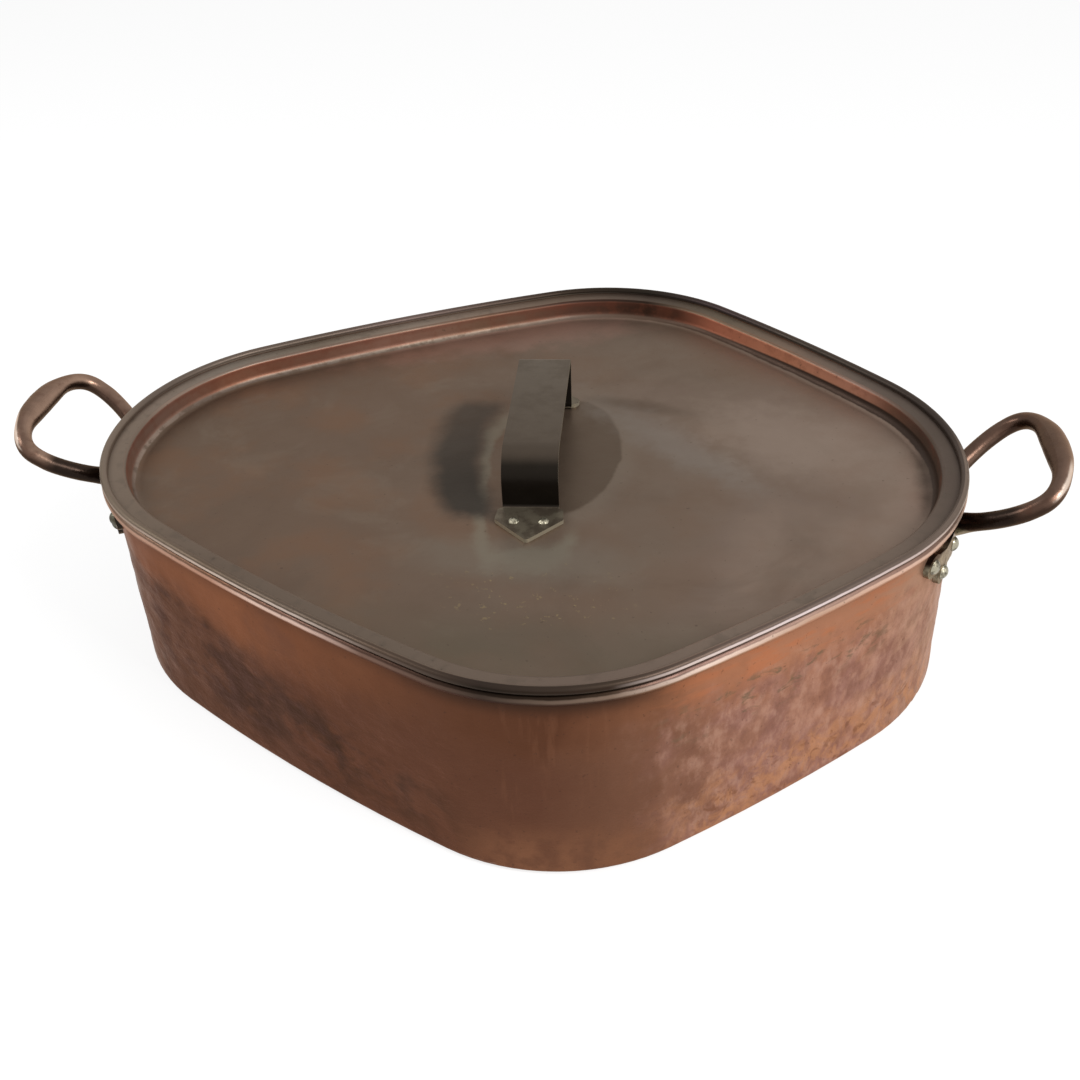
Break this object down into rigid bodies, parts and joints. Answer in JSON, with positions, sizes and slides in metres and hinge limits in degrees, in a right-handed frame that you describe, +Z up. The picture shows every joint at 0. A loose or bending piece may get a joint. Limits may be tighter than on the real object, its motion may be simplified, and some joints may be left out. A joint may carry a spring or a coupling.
{
  "type": "turbot kettle",
  "caption": "Kite-shaped hammered copper fish kettle with a sunk lid, a strap lid handle, two loop handles and a perforated drainer.",
  "frame": {"origin": "middle of the outer size in plan, on the table under the base", "axes": "+X along the kettle from the left loop handle to the right one, +Y to the back corner, +Z up"},
  "size_m": [0.6375, 0.459, 0.1573],
  "materials": {
    "aged_copper": "aged copper, hand hammered, mottled brown patina",
    "lid_copper": "dull aged copper with a grey-brown patina",
    "strap_copper": "dark aged copper, satin",
    "bronze": "forged bronze, worn smooth",
    "lug_rivet": "hammered copper rivet with grey-green patina",
    "strap_rivet": "hammered copper rivet",
    "iron_wire": "drawn iron wire",
    "tinned_copper": "tinned copper, dull grey"
  },
  "bodies": {
    "pan": {"pan_wall": "aged_copper", "pan_base": "aged_copper", "pan_rim_wire": "iron_wire", "left_handle": "bronze", "right_handle": "bronze", "left_near_lug_rivets": "lug_rivet", "left_far_lug_rivets": "lug_rivet", "right_near_lug_rivets": "lug_rivet", "right_far_lug_rivets": "lug_rivet"},
    "lid": {"lid_panel": "lid_copper", "lid_rim_wire": "iron_wire", "lid_strap_handle": "strap_copper", "strap_near_rivets": "strap_rivet", "strap_far_rivets": "strap_rivet"},
    "drainer": {"drainer_plate": "tinned_copper", "drainer_left_handle": "tinned_copper", "drainer_right_handle": "tinned_copper", "drainer_left_rivets": "strap_rivet", "drainer_right_rivets": "strap_rivet"}
  },
  "joints": [
    {"name": "lid_lift", "type": "slide", "parent": "pan", "child": "lid", "axis": [0, 0, 1], "range_m": [0, 0.3]},
    {"name": "drainer_lift", "type": "slide", "parent": "pan", "child": "drainer", "axis": [0, 0, 1], "range_m": [0, 0.15]}
  ],
  "couplings": [
    {"joint": "drainer_lift", "follows": "lid_lift", "ratio": 0.5}
  ]
}
